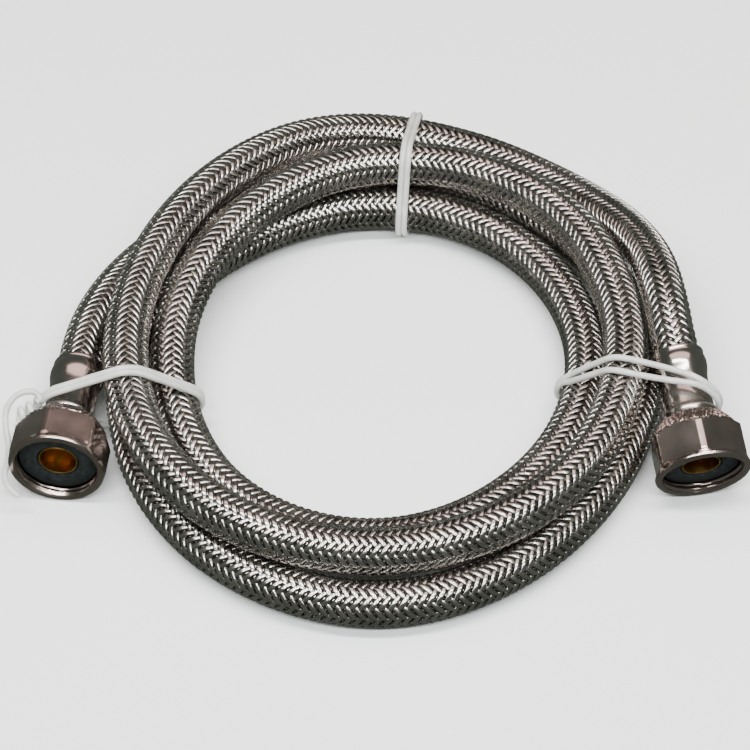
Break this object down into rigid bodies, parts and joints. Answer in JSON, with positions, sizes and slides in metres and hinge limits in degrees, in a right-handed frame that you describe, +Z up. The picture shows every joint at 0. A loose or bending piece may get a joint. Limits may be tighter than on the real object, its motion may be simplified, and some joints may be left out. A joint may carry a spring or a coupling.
{
  "type": "braided supply line",
  "caption": "Long braided steel water supply line, coiled into a flat hank held by wire ties, with a crimped ferrule and a loose hexagonal swivel nut at each end.",
  "frame": {"origin": "under the middle of the bounding box, on the surface the hank lies on", "axes": "+Z up from the surface, +Y from the two nuts' side towards the far side of the ring, +X across the ring from the left nut to the right nut"},
  "size_m": [0.2398, 0.2206, 0.0369],
  "materials": {
    "braided_steel": "braided round wire, satin",
    "black_rubber": "matt",
    "brass": "machined",
    "crimped_steel": "smooth, pressed",
    "plated_nut": "bright nickel plating",
    "washer_rubber": "matt",
    "tie_plastic": "translucent pale grey",
    "tie_steel": "drawn wire"
  },
  "bodies": {
    "line": {"hose_braid": "braided_steel", "hose_liner": "black_rubber", "left_nipple": "brass", "left_ferrule": "crimped_steel", "right_nipple": "brass", "right_ferrule": "crimped_steel", "top_tie": "tie_plastic", "top_tie_wire": "tie_steel", "left_tie": "tie_plastic", "left_tie_wire": "tie_steel", "right_tie": "tie_plastic", "right_tie_wire": "tie_steel"},
    "left_washer": {"left_washer": "washer_rubber"},
    "left_nut": {"left_nut": "plated_nut"},
    "right_washer": {"right_washer": "washer_rubber"},
    "right_nut": {"right_nut": "plated_nut"}
  },
  "joints": [
    {"name": "left_nut_slide", "type": "slide", "parent": "line", "child": "left_washer", "axis": [-0.1045, -0.9945, 0], "range_m": [0, 0.0015]},
    {"name": "left_nut_turn", "type": "hinge", "parent": "left_washer", "child": "left_nut", "pos_m": [-0.10056, -0.05542, 0.0157], "axis": [-0.1045, -0.9945, 0], "continuous": true},
    {"name": "right_nut_slide", "type": "slide", "parent": "line", "child": "right_washer", "axis": [0.1511, -0.954, -0.2588], "range_m": [0, 0.0015]},
    {"name": "right_nut_turn", "type": "hinge", "parent": "right_washer", "child": "right_nut", "pos_m": [0.10494, -0.05742, 0.01516], "axis": [0.1511, -0.954, -0.2588], "continuous": true}
  ]
}
